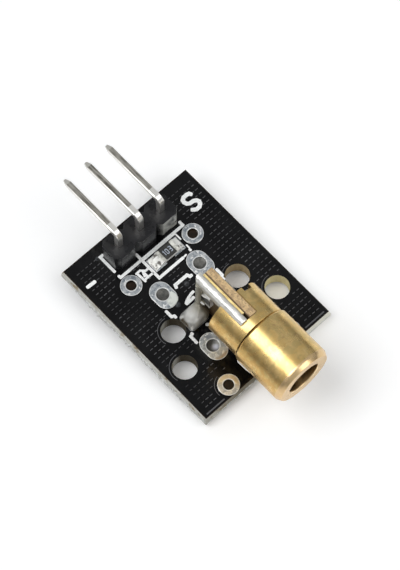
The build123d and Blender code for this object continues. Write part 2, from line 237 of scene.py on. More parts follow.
def dressed(node, surface, bevel=0.0, segments=2):
    """A merged copy of a CAD node that stands for it, with its sharp edges eased by bevel millimetres."""
    mesh = bpy.data.meshes.new(node + "_finished")
    shape = bmesh.new()
    shape.from_mesh(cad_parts[node].data)
    bmesh.ops.remove_doubles(shape, verts=shape.verts, dist=MERGE_DISTANCE * MM)
    bmesh.ops.dissolve_limit(shape, angle_limit=FLAT_ANGLE, verts=shape.verts, edges=shape.edges)
    shape.to_mesh(mesh)
    shape.free()
    mesh.materials.clear()
    mesh.materials.append(surface.material)
    mesh.shade_smooth()
    mesh.set_sharp_from_angle(angle=SHARP_ANGLE)
    piece = new_object(mesh.name, mesh)
    if bevel:
        easing = piece.modifiers.new("eased edges", "BEVEL")
        easing.width = bevel * MM
        easing.segments = segments
        easing.limit_method = "ANGLE"
        easing.angle_limit = EASED_ANGLE
    piece.modifiers.new("even shading", "WEIGHTED_NORMAL").keep_sharp = True
    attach(piece, "root")
    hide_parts(node)
    return piece


BOARD_TOP = 1.6
BOARD_MIDDLE = (0.11, 1.455)
BOARD_HALF = (7.6, 9.625)
LEFT_EDGE = BOARD_MIDDLE[0] - BOARD_HALF[0]
RIGHT_EDGE = BOARD_MIDDLE[0] + BOARD_HALF[0]
FRONT_EDGE = BOARD_MIDDLE[1] - BOARD_HALF[1]
BACK_EDGE = BOARD_MIDDLE[1] + BOARD_HALF[1]
SCREW_HOLES = ((-3.975, 0.0), (3.975, 0.0), (-5.56, -3.28), (5.88, -3.28))
SCREW_HOLE_REACH = 1.45
INNER_HOLES_Y = -1.65
REAR_WALL_WAY = (0.93, 0.37, 0.0)
REAR_WALL_TURN = (-0.75, -0.15)
EDGE_TILT = 0.94
EDGE_ROUGHNESS = 0.75
FIBRE_HEIGHT = 0.03
TAN_SHARE = 0.7
WAVE_SHARE = 0.03
MASK_RIM = (0.02, 0.09)
FRONT_BAND = (0.0, 0.35)
RIGHT_PART = (3.5, 5.0)
LEFT_PART = (2.0, 5.0)
LEFT_CORNER = (-7.2, -3.5)
MASK_BLACK = (0.0022, 0.0022, 0.0026)
MASK_DULL = (0.006, 0.006, 0.0065)
MASK_EDGE = (0.035, 0.02, 0.01)
LAMINATE = (0.5, 0.49, 0.43)
LAMINATE_PALE = (0.66, 0.66, 0.62)
LAMINATE_BROWN = (0.3, 0.24, 0.15)
HOLE_WALL_SHADE_BROWN = (0.08, 0.065, 0.04)
FRONT_EDGE_SHADE_GREY = (0.22, 0.2, 0.15)
FRONT_EDGE_LIT_CREAM = (0.84, 0.83, 0.73)
HOLE_WALL_LIT_CREAM = (0.84, 0.77, 0.5)
HOLE_WALL_SHADE_TAN = (0.4, 0.29, 0.17)
FLUX_FILM = (0.07, 0.075, 0.08)
FILM_CORE = 0.3
FLUX_SPOTS = (((-1.95, 1.62), 0.36), ((0.02, 2.58), 0.34), ((1.0, 4.9), 0.2), ((-4.3, 9.9), 0.3))

mask = Surface("black mask", MASK_BLACK, roughness=0.14, Specular_IOR_Level=0.18)
smudges = mask.patches(size=3.5, level=0.52, soft=0.3)
mask.tint(smudges, MASK_DULL)
for spot, radius in FLUX_SPOTS:
    film = falls(distance(mask.x, mask.y, spot), FILM_CORE * radius, radius)
    mask.tint(times(film, mask.patches(size=0.3, level=0.42, soft=0.3)), FLUX_FILM)
from_sides = calculate("SUBTRACT", BOARD_HALF[0], apart(mask.x, BOARD_MIDDLE[0]))
from_ends = calculate("SUBTRACT", BOARD_HALF[1], apart(mask.y, BOARD_MIDDLE[1]))
mask.tint(falls(calculate("MINIMUM", from_sides, from_ends), *MASK_RIM), MASK_EDGE)
face_colour = mask.colour

mask.tint(mask.lines(1.5, 1.5, 0.09), LAMINATE_PALE, base=LAMINATE)
mask.tint(mask.patches(size=0.8, level=0.6, soft=0.2), LAMINATE_BROWN)
# Painted light and shade on the snapped front edge: a lit cream at its right end and a shaded grey on its
# left part, darkest towards the head.
at_front = falls(calculate("SUBTRACT", mask.y, FRONT_EDGE), *FRONT_BAND)
mask.tint(times(at_front, rises(mask.x, *RIGHT_PART)), FRONT_EDGE_LIT_CREAM)
shade_toward_head = spread(mask.x, 0.35, 1.0, *LEFT_CORNER)
mask.tint(times(at_front, falls(mask.x, *LEFT_PART), shade_toward_head), FRONT_EDGE_SHADE_GREY)
# Painted shade: in the left screw holes, the walls that face the front are painted dark brown.
turned_away = add(mask.tree, "ShaderNodeVectorMath", {0: mask.normal(), 1: REAR_WALL_WAY},
                  operation="DOT_PRODUCT")
shaded_rear_wall = falls(turned_away.outputs["Value"], *REAR_WALL_TURN)
from_holes = [distance(mask.x, mask.y, hole) for hole in SCREW_HOLES]
from_nearest = calculate("MINIMUM", calculate("MINIMUM", *from_holes[:2]),
                         calculate("MINIMUM", *from_holes[2:]))
in_hole = under(from_nearest, SCREW_HOLE_REACH)
mask.tint(times(in_hole, shaded_rear_wall, under(mask.x, 0.0)), HOLE_WALL_SHADE_BROWN)
# Painted light and shade: the right screw holes' walls are painted a lit cream, and the inner one, beside
# the head, a shaded tan.
lit_right_holes = times(in_hole, over(mask.x, 0.0))
mask.tint(lit_right_holes, HOLE_WALL_LIT_CREAM)
mask.tint(times(lit_right_holes, over(mask.y, INNER_HOLES_Y), TAN_SHARE), HOLE_WALL_SHADE_TAN)

is_edge = under(mask.tilt()[2], EDGE_TILT)
mask.tint(is_edge, mask.colour, base=face_colour)
roughness = calculate("MAXIMUM", spread(smudges, 0.1, 0.22), times(is_edge, EDGE_ROUGHNESS))
put(roughness, mask.inputs["Roughness"])
waviness = mask.patches(size=0.9, level=0.5, soft=0.5)
rough_edge = times(mask.lines(0.12, 0.12, 0.4), is_edge)
mask.relief(calculate("MULTIPLY_ADD", waviness, WAVE_SHARE, rough_edge), depth=FIBRE_HEIGHT)
dressed("circuit_board", mask)


# Broken web
# The ragged strip of bare glass fibre left where the board was snapped out of its panel.
# It stands out of the middle of each edge, with loose flakes on it.

def new_piece(name, points, faces):
    """An object from points in millimetres."""
    mesh = bpy.data.meshes.new(name)
    mesh.from_pydata([tuple(part * MM for part in point) for point in points], [], faces)
    return new_object(name, mesh)


def closed_piece(name, bodies, surface, smooth=False):
    """A piece of closed bodies. A body is a row of rings of points, its first and last ring filled."""
    points, faces = [], []
    for rings in bodies:
        size = len(rings[0])
        first = len(points)
        points += [point for ring in rings for point in ring]
        last = len(points) - size
        faces += [tuple(range(first, first + size)), tuple(range(last, last + size))]
        for start in range(first, last, size):
            for corner in range(start, start + size):
                following = corner + 1 if corner + 1 < start + size else start
                faces.append((corner, following, following + size, corner + size))
    piece = new_piece(name, points, faces)
    shape = bmesh.new()
    shape.from_mesh(piece.data)
    bmesh.ops.recalc_face_normals(shape, faces=shape.faces)
    shape.to_mesh(piece.data)
    shape.free()
    piece.data.materials.append(surface.material)
    if smooth:
        piece.data.shade_smooth()
    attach(piece, "root")
    return piece


def repeated_piece(name, points, faces, tree, values):
    """A piece that a geometry nodes tree makes on points and faces, kept as a plain mesh."""
    piece = new_piece(name, points, faces)
    modifier = piece.modifiers.new("repeat", "NODES")
    modifier.node_group = tree
    for item in tree.interface.items_tree:
        if item.item_type == "SOCKET" and item.in_out == "INPUT" and item.name in values:
            modifier[item.identifier] = values[item.name]
    depsgraph = bpy.context.evaluated_depsgraph_get()
    mesh = bpy.data.meshes.new_from_object(piece.evaluated_get(depsgraph))
    piece.modifiers.remove(modifier)
    piece.data = mesh
    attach(piece, "root")
    return piece


def random_vector(low, high, seed, shift):
    """A random vector between two others, different at each point."""
    limits = {0: low, 1: high, "Seed": calculate("ADD", seed, shift)}
    return add(seed.id_data, "FunctionNodeRandomValue", limits, data_type="FLOAT_VECTOR").outputs[0]


def finish_repeat(points, shape, turn, size, material, result):
    """Instances of shape on points, made real, with their material."""
    tree = result.id_data
    instances = add(tree, "GeometryNodeInstanceOnPoints", {
        "Points": points, "Instance": shape, "Rotation": turn, "Scale": size})
    real = add(tree, "GeometryNodeRealizeInstances", {0: instances.outputs[0]})
    coloured = add(tree, "GeometryNodeSetMaterial", {0: real.outputs[0], "Material": material})
    put(coloured.outputs[0], result)


FLAKE_TURN = (0.5, 0.9, 0.9)
TURN_SHIFT = 3
SIZE_SHIFT = 7


def flakes_tree():
    """Small flat flakes scattered on a surface."""
    tree, given, result = start_tree("laminate flakes", "GeometryNodeTree", {
        "Geometry": "Geometry", "Density": "Float", "Smallest": "Vector", "Largest": "Vector",
        "Seed": "Int", "Material": "Material"}, "Geometry", "Geometry")
    scatter = add(tree, "GeometryNodeDistributePointsOnFaces", {
        "Mesh": given["Geometry"], "Density": given["Density"], "Seed": given["Seed"]})
    flake = add(tree, "GeometryNodeMeshIcoSphere", {"Radius": 1.0, "Subdivisions": 1})
    turn = random_vector(tuple(-part for part in FLAKE_TURN), FLAKE_TURN, given["Seed"], TURN_SHIFT)
    size = random_vector(given["Smallest"], given["Largest"], given["Seed"], SIZE_SHIFT)
    finish_repeat(scatter.outputs["Points"], flake.outputs[0], turn, size, given["Material"], result)
    return tree


FIBRE_PALE = (0.72, 0.73, 0.72)
FIBRE_GREY = (0.5, 0.5, 0.47)
web_fibre = Surface("broken glass fibre", FIBRE_PALE, roughness=0.7)
web_fibre.tint(web_fibre.patches(size=0.35, level=0.5, soft=0.3), FIBRE_PALE, base=FIBRE_GREY)
web_fibre.relief(web_fibre.lines(0.5, 0.06, 0.06), depth=0.02)

WEB_LOW = 0.52
WEB_HIGH = 1.08
WEB_STEP = 0.13
WEB_ROOT = 0.08
WEB_LEAST = 0.14
WEB_SWING = 0.14
WEB_ROUNDING = 0.04
CREST_HALF = 0.06
SHOULDER = 0.7
END_TAPER = 6
DRIFT_KEPT = 0.7
DRIFT_STEP = 0.5
JITTER = 0.6
SHALLOWEST = 0.05


def ragged_strip(name, start, end, outward, mean_reach, seed):
    """A torn ridge along the board's edge from start to end, between the two score bevels."""
    draw = random.Random(seed)
    start, end, outward = Vector(start), Vector(end), Vector(outward)
    count = int((end - start).length / WEB_STEP)
    rings = []
    drift = 0.0
    for number in range(count + 1):
        share = number / count
        drift = DRIFT_KEPT * drift + DRIFT_STEP * draw.uniform(-1, 1)
        tapered = min(1.0, END_TAPER * share, END_TAPER * (1 - share))
        unevenness = max(SHALLOWEST, 1 + drift + JITTER * draw.uniform(-1, 1))
        reach = WEB_LEAST + mean_reach * tapered * unevenness
        crest = 0.5 * (WEB_LOW + WEB_HIGH) + WEB_SWING * draw.uniform(-1, 1)
        profile = ((WEB_ROOT, WEB_LOW), (WEB_ROOT, WEB_HIGH),
                   (SHOULDER * reach, WEB_HIGH - WEB_ROUNDING),
                   (reach, crest + CREST_HALF), (reach, crest - CREST_HALF),
                   (SHOULDER * reach, WEB_LOW + WEB_ROUNDING))
        spots = [(start.lerp(end, share) + outward * out, height) for out, height in profile]
        rings.append([(spot.x, spot.y, height) for spot, height in spots])
    closed_piece(name, [rings], web_fibre)


ragged_strip("torn_web_left", (LEFT_EDGE, FRONT_EDGE), (LEFT_EDGE, BACK_EDGE), (-1, 0), 0.11, seed=5)
ragged_strip("torn_web_right", (RIGHT_EDGE, FRONT_EDGE), (RIGHT_EDGE, BACK_EDGE), (1, 0), 0.05, seed=6)
ragged_strip("torn_web_front", (LEFT_EDGE, FRONT_EDGE), (RIGHT_EDGE, FRONT_EDGE), (0, -1), 0.04, seed=7)
ragged_strip("torn_web_back", (LEFT_EDGE, BACK_EDGE), (RIGHT_EDGE, BACK_EDGE), (0, 1), 0.04, seed=8)

FLAKES_X = LEFT_EDGE - 0.2
FLAKES_FRONT = FRONT_EDGE + 1.0
FLAKES_BACK = BACK_EDGE - 1.5
FLAKES_PER_AREA = 5.0e6
SMALLEST_FLAKE = (0.02 * MM, 0.03 * MM, 0.015 * MM)
LARGEST_FLAKE = (0.09 * MM, 0.16 * MM, 0.05 * MM)
flake_ground = ((FLAKES_X, FLAKES_FRONT, WEB_LOW), (FLAKES_X, FLAKES_BACK, WEB_LOW),
                (FLAKES_X, FLAKES_BACK, WEB_HIGH), (FLAKES_X, FLAKES_FRONT, WEB_HIGH))
web_flakes = repeated_piece("web_flakes", flake_ground, [(0, 1, 2, 3)], flakes_tree(), {
    "Density": FLAKES_PER_AREA, "Smallest": SMALLEST_FLAKE, "Largest": LARGEST_FLAKE,
    "Seed": 11, "Material": web_fibre.material})


# Copper under the mask
# The top copper is a hatched pour. Its crossbars stand up under the mask as rows of short ridges.
# It leaves bare the ground round the holes and pads and under the parts.

SHORTEST_RIDGE = (0.8, 0.75, 1.0)
LONGEST_RIDGE = (1.12, 1.15, 1.0)


def ridges_tree():
    """A short flat ridge on each point, its length a little uneven."""
    tree, given, result = start_tree("copper ridges", "GeometryNodeTree", {
        "Geometry": "Geometry", "Length": "Float", "Width": "Float", "Height": "Float",
        "Seed": "Int", "Material": "Material"}, "Geometry", "Geometry")
    size = add(tree, "ShaderNodeCombineXYZ", {0: given["Length"], 1: given["Width"], 2: given["Height"]})
    block = add(tree, "GeometryNodeMeshCube", {"Size": size.outputs[0]})
    scale = random_vector(SHORTEST_RIDGE, LONGEST_RIDGE, given["Seed"], 0)
    finish_repeat(given["Geometry"], block.outputs[0], (0.0, 0.0, 0.0), scale, given["Material"], result)
    return tree


HATCH_START = (-6.63, -7.32)
HATCH_PITCH = (0.508, 0.5235)
HATCH_COLUMNS = 28
HATCH_ROWS = 35
HATCH_MARGIN = 0.84
RIGHT_MARGIN = 0.45
RIDGE_LENGTH = 0.31
RIDGE_WIDTH = 0.075
RIDGE_HEIGHT = 0.016
ROUND_PADS = ((-3.81, 5.86), (3.81, 5.86), (-3.81, -7.16), (3.81, -7.16))
OVAL_PADS = ((-2.29, 3.16), (2.29, 3.16), (-2.29, -3.56), (2.29, -3.56))
SCREW_STEP = 1.42
PAD_STEP = 1.28
SCREW_CLEARANCE = SCREW_STEP + 0.12
PAD_CLEARANCE = PAD_STEP + 0.16
OVAL_CLEARANCE = 1.5
OVAL_SHORTENING = 0.72
UNHATCHED = {
    "header": (-4.5, 4.5, 6.9, BACK_EDGE),
    "resistor": (-1.9, 2.9, 4.4, BACK_EDGE),
    "joints": (-3.1, 3.1, -1.6, 1.6),
    "head": (-2.6, 2.6, FRONT_EDGE, -1.6),
}
# The ridges are painted grey: a painted highlight for the glint along the copper's edges under the black
# mask.
RIDGE_GLINT_GREY = (0.092, 0.092, 0.096)
ridges = Surface("mask over copper", RIDGE_GLINT_GREY, roughness=0.35)
ridges.tint(ridges.patches(size=2.5, level=0.5, soft=0.4), RIDGE_GLINT_GREY, base=MASK_DULL)


def hatched(x, y):
    """True where the pour is hatched: clear of edges, holes, pads, header, resistor and head."""
    inside = LEFT_EDGE + HATCH_MARGIN < x < RIGHT_EDGE - RIGHT_MARGIN
    inside = inside and FRONT_EDGE + HATCH_MARGIN < y < BACK_EDGE - HATCH_MARGIN
    clear = all(math.dist((x, y), hole) > SCREW_CLEARANCE for hole in SCREW_HOLES)
    clear = clear and all(math.dist((x, y), pad) > PAD_CLEARANCE for pad in ROUND_PADS)
    clear = clear and all(math.hypot(x - pad_x, OVAL_SHORTENING * (y - pad_y)) > OVAL_CLEARANCE
                          for pad_x, pad_y in OVAL_PADS)
    covered = any(left < x < right and front < y < back for left, right, front, back in UNHATCHED.values())
    return inside and clear and not covered


hatch_x = [HATCH_START[0] + HATCH_PITCH[0] * column for column in range(HATCH_COLUMNS)]
hatch_y = [HATCH_START[1] + HATCH_PITCH[1] * row for row in range(HATCH_ROWS)]
hatch_points = [(x, y, BOARD_TOP) for x in hatch_x for y in hatch_y if hatched(x, y)]
copper_hatch = repeated_piece("copper_hatch", hatch_points, [], ridges_tree(), {
    "Length": RIDGE_LENGTH * MM, "Width": RIDGE_WIDTH * MM, "Height": RIDGE_HEIGHT * MM,
    "Seed": 4, "Material": ridges.material})


# White print
# Ink screened on the mask: frames round the header and the resistor, short marks round the laser
# head, a minus, an S and an R.

OVERLAP_STEP = 0.002
TIP_WAYS = (0.0, 0.12, 0.4)
TIP_WIDTHS = [0.45, 0.8]
SHARPEST_MITRE = 0.4


def flat_strokes(name, strokes, height, thickness, surface):
    """Flat strokes in one piece. A stroke is a width and its points; its ends are drawn in round."""
    bodies = []
    for order, (width, points) in enumerate(strokes):
        foot = height + OVERLAP_STEP * (order % 5)
        line = [Vector(point) for point in points]
        first_way = (line[1] - line[0]).normalized() * width
        last_way = (line[-2] - line[-1]).normalized() * width
        head = [line[0] + first_way * way for way in TIP_WAYS]
        tail = [line[-1] + last_way * way for way in reversed(TIP_WAYS)]
        line = head + line[1:-1] + tail
        shares = TIP_WIDTHS + [1.0] * (len(line) - 4) + TIP_WIDTHS[::-1]
        ways = [(after - before).normalized() for before, after in zip(line, line[1:])]
        rings = []
        for point, share, before, after in zip(line, shares, ways[:1] + ways, ways + ways[-1:]):
            middle = (before + after).normalized()
            half = width / 2 * share / max(SHARPEST_MITRE, middle.dot(after))
            side = Vector((-middle.y, middle.x)) * half
            right, left = point + side, point - side
            rings.append([(right.x, right.y, foot), (left.x, left.y, foot),
                          (left.x, left.y, foot + thickness), (right.x, right.y, foot + thickness)])
        bodies.append(rings)
    return closed_piece(name, bodies, surface)


INK_WHITE = (0.94, 0.95, 0.94)
INK_THIN = (0.7, 0.72, 0.71)
INK_THICKNESS = 0.02
ink = Surface("white ink", INK_WHITE, roughness=0.5)
thin_spots = ink.patches(size=0.16, level=0.6, soft=0.15)
ink.tint(thin_spots, INK_THIN)
ink.relief(thin_spots, depth=0.01)

INK_LINE = 0.29
HEADER_FRAME = [
    (INK_LINE, ((-3.62, 9.86), (-4.02, 9.86), (-4.02, 7.78))),
    (INK_LINE, ((-4.04, 7.42), (-3.98, 7.09), (3.86, 7.09))),
    (INK_LINE, ((3.7, 7.12), (3.7, 7.64))),
]
RESISTOR_FRAME = [
    (INK_LINE, ((-1.42, 7.95), (-1.42, 4.67), (1.62, 4.67))),
    (0.18, ((1.62, 4.68), (2.0, 4.71))),
    (0.14, ((-1.42, 6.94), (2.62, 6.94))),
    (0.15, ((2.61, 6.98), (2.61, 6.12))),
    (0.15, ((2.61, 5.45), (2.61, 4.98))),
    (0.25, ((2.54, 4.98), (2.54, 4.66))),
]
HEAD_MARKS = [
    (0.32, ((-0.97, 2.8), (-0.83, 3.17), (0.62, 3.17), (0.74, 2.88), (1.04, 2.88))),
    (INK_LINE, ((-3.17, 1.94), (-3.17, 1.12), (-2.92, 1.0), (-2.92, 0.7))),
    (INK_LINE, ((-2.92, -1.18), (-2.92, -1.38), (-3.17, -1.45), (-3.19, -2.38))),
    (INK_LINE, ((3.0, 1.86), (3.0, 1.0), (2.82, 0.88), (2.82, 0.48))),
    (0.3, ((-1.42, 1.1), (-0.3, 1.15))),
    (0.27, ((-1.4, 1.12), (-1.1, 1.31), (-0.75, 1.45), (-0.35, 1.55), (0.05, 1.6))),
    (0.3, ((-1.42, -1.52), (-0.9, -1.95))),
    (0.15, ((-1.62, -6.0), (-1.68, -6.2), (-1.66, -7.1), (-1.56, -7.72))),
    (0.09, ((-1.6, -6.0), (-1.48, -6.4), (-1.44, -7.1), (-1.46, -7.72))),
]
MINUS = [(0.35, ((-6.96, 8.43), (-5.88, 8.38)))]
LETTER_S = [(0.4, ((6.44, 8.74), (6.28, 9.05), (5.96, 9.12), (5.64, 9.1), (5.39, 8.93), (5.34, 8.69),
                   (5.43, 8.43), (5.66, 8.27), (6.09, 8.22), (6.35, 8.07), (6.45, 7.84), (6.35, 7.59),
                   (6.09, 7.41), (5.73, 7.4), (5.5, 7.54), (5.28, 7.74)))]
LETTER_R = [
    (0.22, ((-2.8, 6.38), (-2.24, 6.41), (-1.9, 6.06), (-1.44, 6.04))),
    (0.24, ((-2.64, 6.46), (-2.56, 5.2))),
    (0.21, ((-2.12, 6.16), (-2.34, 5.6))),
    (0.22, ((-2.54, 5.44), (-2.2, 5.43), (-1.44, 5.42))),
    (0.22, ((-2.11, 6.12), (-2.11, 5.4))),
]
flat_strokes("board_print", HEADER_FRAME + RESISTOR_FRAME + HEAD_MARKS + MINUS + LETTER_S + LETTER_R,
             BOARD_TOP, INK_THICKNESS, ink)


# Copper border
# The pour's border line along the front edge, and the step in it round each screw hole, drawn only on the
# side where the step catches the light.
# Both are copper under the mask, as low as the ridges, and their grey is a painted highlight.

def arc(middle, radius, start, end):
    """Points every ten degrees along an arc, in degrees from the board's right."""
    turns = [math.radians(angle) for angle in range(start, end + 1, 10)]
    return [(middle[0] + radius * math.cos(turn), middle[1] + radius * math.sin(turn)) for turn in turns]


BORDER_WIDTH = 0.13
BORDER_Y = -7.88
BORDER_THICKNESS = 0.012
STEP_WIDTH = 0.06
BORDER_GLINT_GREY = (0.085, 0.085, 0.09)
border_lines = [(BORDER_WIDTH, ((start, BORDER_Y), (end, BORDER_Y)))
                for start, end in ((-7.15, -4.98), (5.0, 7.35))]
lit_step_arcs = [(STEP_WIDTH, arc(hole, SCREW_STEP, 80, 200)) for hole in SCREW_HOLES]
lit_step_arcs += [(STEP_WIDTH, arc(ROUND_PADS[2], PAD_STEP, 100, 190))]
border = Surface("mask over the border", BORDER_GLINT_GREY, roughness=0.3)
border.tint(border.patches(size=1.2, level=0.5, soft=0.4), BORDER_GLINT_GREY, base=RIDGE_GLINT_GREY)
flat_strokes("copper_border", border_lines + lit_step_arcs, BOARD_TOP, BORDER_THICKNESS, border)


# Tinned pads
# Copper lands with a thin coat of tin, plated through their holes.
# They are left bare by openings in the mask. The holes' walls are painted dark brown as painted shade.

TIN = (0.62, 0.645, 0.66)
TIN_DARK = (0.24, 0.27, 0.3)
TIN_BRIGHT = (0.97, 0.97, 0.95)
TIN_BRASS_REFLECTION = (0.88, 0.78, 0.6)
TIN_GOLD_REFLECTION = (0.8, 0.64, 0.36)
TIN_BROWN_REFLECTION = (0.52, 0.36, 0.17)
PAD_HOLE_SHADE_BROWN = (0.045, 0.028, 0.015)
FRONT_ROUND_Y = -5.5
BRASS_REFLECTION_REACH = (-4.8, -1.8)
BROWN_REFLECTION_REACH = (-4.85, -4.45)
GOLD_REFLECTION_REACH = (-11.3, -10.4)
ROUND_LIP = 0.57
OVAL_LIP = 0.68
LIP_WIDTH = 0.06
PAD_RIM = (0.92, 1.0)
PAD_REACH = 1.27
OVAL_STRAIGHT = 0.42
OVAL_HOLES = ((2.29, 3.26), (2.29, -3.46))
WALL_TILT = 0.3
tin = Surface("tinned copper", TIN, roughness=0.38, metallic=1.0)
wrinkles = tin.patches(size=0.5, level=0.5, soft=0.3)
tin.tint(wrinkles, TIN, base=TIN_DARK)
tin.tint(tin.patches(size=0.3, level=0.6, soft=0.12), TIN_BRIGHT)
# Painted reflections of the brass head on the front pads: warm over the front ones, gold on the front left
# round pad's side towards the head, brown on the front oval pads' front ends.
tin.tint(falls(tin.y, *BRASS_REFLECTION_REACH, top=0.28), TIN_BRASS_REFLECTION)
toward_head = rises(calculate("ADD", tin.x, tin.y), *GOLD_REFLECTION_REACH, top=0.7)
tin.tint(times(toward_head, under(tin.x, 0.0), under(tin.y, FRONT_ROUND_Y)), TIN_GOLD_REFLECTION)
tin.tint(times(falls(tin.y, *BROWN_REFLECTION_REACH, top=0.75), over(tin.y, FRONT_ROUND_Y)), TIN_BROWN_REFLECTION)
off_middle = calculate("ABSOLUTE", tin.x)


def painted_rim_highlights(hole, land, straight, lip):
    """Painted highlight: 1 at the outer rim of a pad and of its mirror image, and at their holes' lips."""
    lip_highlight = falls(distance(off_middle, tin.y, hole), lip, lip + LIP_WIDTH)
    past_straight = calculate("MAXIMUM", calculate("SUBTRACT", apart(tin.y, land[1]), straight), 0.0)
    from_spine = distance(off_middle, past_straight, (land[0], 0.0))
    outer_rim_highlight = rises(from_spine, *PAD_RIM)
    return times(calculate("MAXIMUM", lip_highlight, outer_rim_highlight), under(from_spine, PAD_REACH))


round_rim_highlights = [painted_rim_highlights(ROUND_PADS[pad], ROUND_PADS[pad], 0.0, ROUND_LIP) for pad in (1, 3)]
oval_rim_highlights = [painted_rim_highlights(hole, OVAL_PADS[pad], OVAL_STRAIGHT, OVAL_LIP)
              for hole, pad in zip(OVAL_HOLES, (1, 3))]
edges = calculate("ADD", calculate("ADD", *round_rim_highlights), calculate("ADD", *oval_rim_highlights))
# Painted highlights along the pads' outer rims and their holes' lips.
tin.tint(times(edges, spread(wrinkles, 0.6, 1.0)), TIN_BRIGHT)
# Painted shade: the plated holes' walls are painted dark brown.
shaded_bore_wall = times(under(tin.tilt()[2], WALL_TILT), under(tin.z, BOARD_TOP), over(tin.z, 0.0))
tin.tint(shaded_bore_wall, PAD_HOLE_SHADE_BROWN)
put(spread(wrinkles, 0.48, 0.3), tin.inputs["Roughness"])
tin.relief(wrinkles, depth=0.01)
for node in ("round_pads", "oval_pads", "header_pads", "laser_pads", "resistor_pads"):
    dressed(node, tin, bevel=0.04, segments=3)


# Hole discs
# A dark brown disc across each round pad's hole, a little under the board's face.
# Its top is a little wavy.

HOLE_DISC_DARK = (0.008, 0.005, 0.003)
HOLE_DISC_BROWN = (0.026, 0.014, 0.006)
SKIN_RADIUS = 0.495
SKIN_THICKNESS = 0.06
SKIN_MIDDLE = BOARD_TOP - 0.25
SKIN_WAVE = 0.02
SKIN_WAVES = 9
hole_disc = Surface("dark hole discs", HOLE_DISC_DARK, roughness=0.3, Specular_IOR_Level=0.2)
hole_disc.tint(hole_disc.patches(size=0.5, level=0.5, soft=0.4), HOLE_DISC_BROWN)
discs = bmesh.new()
for x, y in ROUND_PADS:
    bmesh.ops.create_cone(discs, cap_ends=True, segments=32, radius1=SKIN_RADIUS * MM,
                          radius2=SKIN_RADIUS * MM, depth=SKIN_THICKNESS * MM,
                          matrix=Matrix.Translation((x * MM, y * MM, SKIN_MIDDLE * MM)))
for corner in discs.verts:
    if corner.co.z > SKIN_MIDDLE * MM:
        corner.co.z += SKIN_WAVE * MM * math.sin(SKIN_WAVES * math.atan2(corner.co.y, corner.co.x))
dark_hole_discs = new_piece("dark_hole_discs", [], [])
discs.to_mesh(dark_hole_discs.data)
discs.free()
dark_hole_discs.data.materials.append(hole_disc.material)
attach(dark_hole_discs, "root")


# Solder
# Bright tin alloy that froze in smooth hollow and rounded forms. It joins the parts to their pads.
# In the oval pads' holes it is a dull grey plug.

SOLDER_STAIN = (0.4, 0.34, 0.22)


def solder_metal(name, pale, grey, roughness, stains, ripples, shine, drifts=0.9):
    """Frozen solder: satin, with grey drifts and, over the level stains, a little brown flux.

    drifts is their size, ripples the depth of its waves and shine its share of bare metal.
    """
    surface = Surface(name, pale, roughness, shine)
    surface.tint(surface.patches(size=drifts, level=0.5, soft=0.4), pale, base=grey)
    surface.tint(surface.patches(size=0.6, level=stains, soft=0.12), SOLDER_STAIN)
    surface.relief(surface.lines(0.7, 0.7, 0.7), depth=ripples)
    return surface


def softened(node, surface, grain, rounds):
    """A merged copy of a CAD node with every edge rounded off, as molten metal leaves it."""
    piece = dressed(node, surface)
    even_skin = piece.modifiers.new("even skin", "REMESH")
    even_skin.mode = "VOXEL"
    even_skin.voxel_size = grain * MM
    even_skin.use_smooth_shade = True
    rounding = piece.modifiers.new("rounding", "SMOOTH")
    rounding.factor = 0.5
    rounding.iterations = rounds
    return piece


SOLDER_PALE = (0.93, 0.93, 0.9)
SOLDER_GREY = (0.74, 0.74, 0.7)
solder = solder_metal("solder", SOLDER_PALE, SOLDER_GREY, roughness=0.4, stains=0.66,
                      ripples=0.02, shine=0.75)
for node in ("header_solder", "driver_resistor_solder", "right_solder_joint"):
    dressed(node, solder)

FILLET_PALE = (0.95, 0.95, 0.92)
FILLET_GREY = (0.82, 0.82, 0.77)
FILLET_DARK = (0.15, 0.14, 0.125)
fillet = solder_metal("fillet solder", FILLET_PALE, FILLET_GREY, roughness=0.5, stains=0.74,
                      ripples=0.02, shine=0.25, drifts=0.5)
fillet.tint(fillet.patches(size=0.6, level=0.56, soft=0.14), FILLET_DARK)
dressed("resistor_solder", fillet)

JOINT_PALE = (0.99, 0.99, 0.97)
JOINT_GREY = (0.84, 0.83, 0.79)
JOINT_SHADE = (0.66, 0.65, 0.61)
JOINT_HALF_SHADE = (0.6, 0.58, 0.51)
JOINT_SHADE_OLIVE = (0.33, 0.31, 0.23)
GROOVE_SHADE_BROWN = (0.14, 0.1, 0.05)
HIGHLIGHT_MIDDLE = (-2.05, -0.38)
HIGHLIGHT_EDGE = (0.25, 0.75)
SHOULDER_X = (-1.85, -1.35)
INNER_SIDE_X = (-1.5, -0.9)
NECK_Z = (3.3, 4.2)
GROOVE_X = -2.98
GROOVE_Y = -0.3
GROOVE_STRETCH = 0.45
GROOVE_EDGE = (0.16, 0.34)
GROOVE_FOOT = (1.72, 1.85)
GROOVE_HEAD = (2.5, 3.0)
joint = solder_metal("joint solder", JOINT_PALE, JOINT_GREY, roughness=0.26, stains=0.8,
                     ripples=0.03, shine=0.5)
